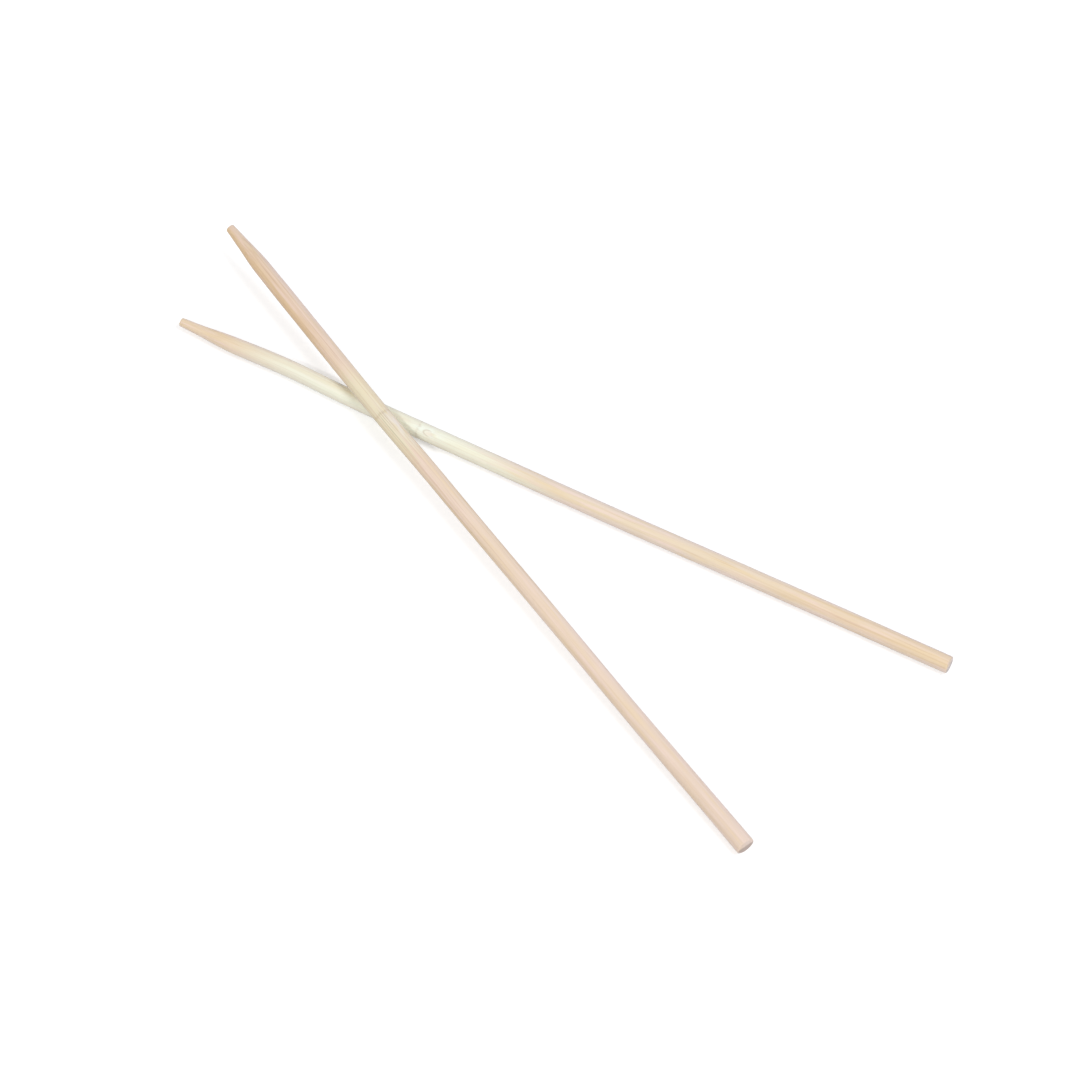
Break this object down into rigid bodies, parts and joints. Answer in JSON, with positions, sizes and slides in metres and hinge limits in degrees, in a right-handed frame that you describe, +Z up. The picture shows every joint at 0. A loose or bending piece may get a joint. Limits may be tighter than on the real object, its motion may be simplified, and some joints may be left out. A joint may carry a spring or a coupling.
{
  "type": "bamboo chopsticks",
  "caption": "Loose pair of round bamboo chopsticks with tapered tips and sawn butts, one laid across the other, for picking up food.",
  "frame": {"origin": "on the surface that the pair lies on, below the middle of the pair's bounding box", "axes": "+X along the lower stick's straight run, from its node to its butt; +Z up; the upper stick's tip lies towards +Y and its butt towards -Y"},
  "size_m": [0.2308, 0.1044, 0.0109],
  "materials": {
    "lower_bamboo": "satin",
    "upper_bamboo": "satin"
  },
  "bodies": {
    "root": {"lower_chopstick": "lower_bamboo", "upper_chopstick": "upper_bamboo"}
  },
  "joints": []
}
